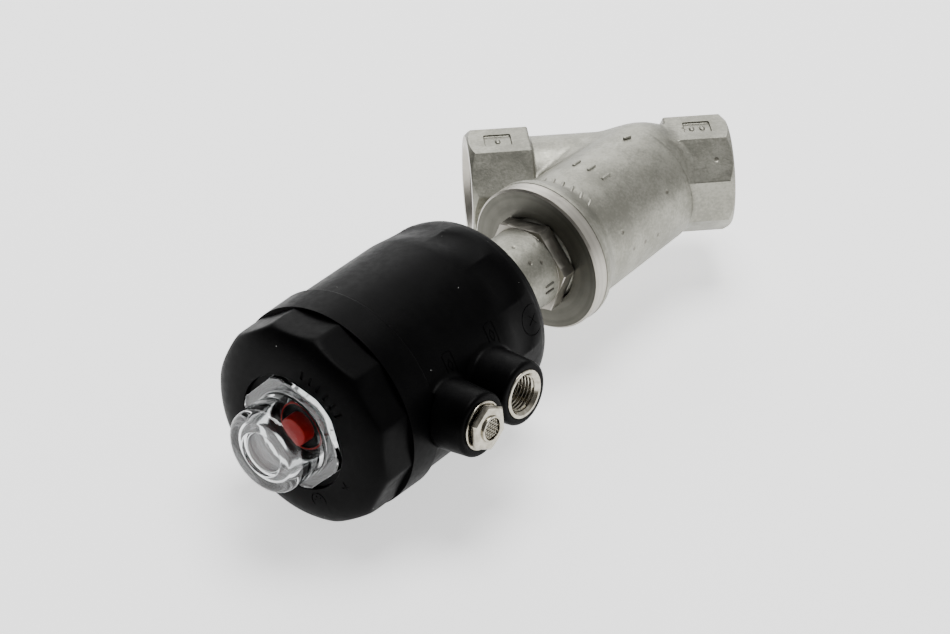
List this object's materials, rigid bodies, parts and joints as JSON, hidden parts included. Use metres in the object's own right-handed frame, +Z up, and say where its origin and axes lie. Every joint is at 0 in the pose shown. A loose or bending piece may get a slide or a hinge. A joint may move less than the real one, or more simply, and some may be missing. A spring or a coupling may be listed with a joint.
{
  "type": "pneumatic actuated valve",
  "caption": "Angle seat valve with a threaded stainless body, a spring-return piston actuator, two pilot ports and a clear position indicator.",
  "frame": {"origin": "where the pipe axis meets the spindle axis, inside the valve body", "axes": "+X along the pipe from port 1 to port 2; the spindle line and the actuator point along -X -Y at 45 degrees to the pipe; +Z up, square to both lines"},
  "size_m": [0.1295, 0.1253, 0.0508],
  "materials": {
    "cast_steel": "bead-blasted investment-cast stainless steel, machined at the joints",
    "turned_steel": "turned stainless steel",
    "spring_steel": "drawn spring wire",
    "nickel": "nickel-plated brass",
    "black_polyamide": "matt black glass-filled polyamide",
    "grey_polyamide": "dark grey engineering plastic",
    "clear_cap": "clear polycarbonate",
    "red_signal": "signal red plastic",
    "ptfe": "off-white PTFE",
    "rubber": "black nitrile rubber"
  },
  "bodies": {
    "valve": {"valve_body": "cast_steel", "bonnet_nipple": "cast_steel", "bonnet_gasket": "ptfe", "packing_support_ring": "turned_steel", "packing_spring": "spring_steel", "packing_pressure_ring": "turned_steel", "chevron_ring_1": "ptfe", "chevron_ring_2": "ptfe", "chevron_ring_3": "ptfe", "spindle_guide_bush": "grey_polyamide", "spindle_wiper": "rubber", "spindle_seal": "rubber", "swivel_circlip": "spring_steel"},
    "housing": {"actuator_base": "black_polyamide", "actuator_cover": "black_polyamide", "cover_o_ring": "rubber", "swivel_washer": "turned_steel", "swivel_o_ring": "rubber", "pilot_port_insert": "nickel", "vent_port_insert": "nickel", "vent_plug": "nickel", "vent_screen": "nickel", "indicator_cap": "clear_cap", "cap_o_ring": "rubber", "closing_spring": "spring_steel"},
    "stem": {"spindle": "turned_steel", "piston": "grey_polyamide", "piston_lip_seal": "rubber", "piston_o_ring": "rubber", "piston_washer": "turned_steel", "piston_nut": "turned_steel", "position_indicator": "red_signal"},
    "plug": {"valve_plug": "turned_steel", "seat_seal": "ptfe", "seal_retainer": "turned_steel", "plug_pin": "turned_steel"}
  },
  "joints": [
    {"name": "housing_swivel", "type": "hinge", "parent": "valve", "child": "housing", "pos_m": [0, 0, 0], "axis": [-0.7071, -0.7071, 0], "continuous": true},
    {"name": "stroke", "type": "slide", "parent": "valve", "child": "stem", "axis": [-0.7071, -0.7071, 0], "range_m": [0, 0.0065], "stiffness_N_per_m": 5000, "springref_m": -0.004, "deforming": ["closing_spring"]},
    {"name": "plug_tilt", "type": "hinge", "parent": "stem", "child": "plug", "pos_m": [-0.00919, -0.00919, 0], "axis": [0, 0, 1], "range_deg": [-1, 1]}
  ]
}
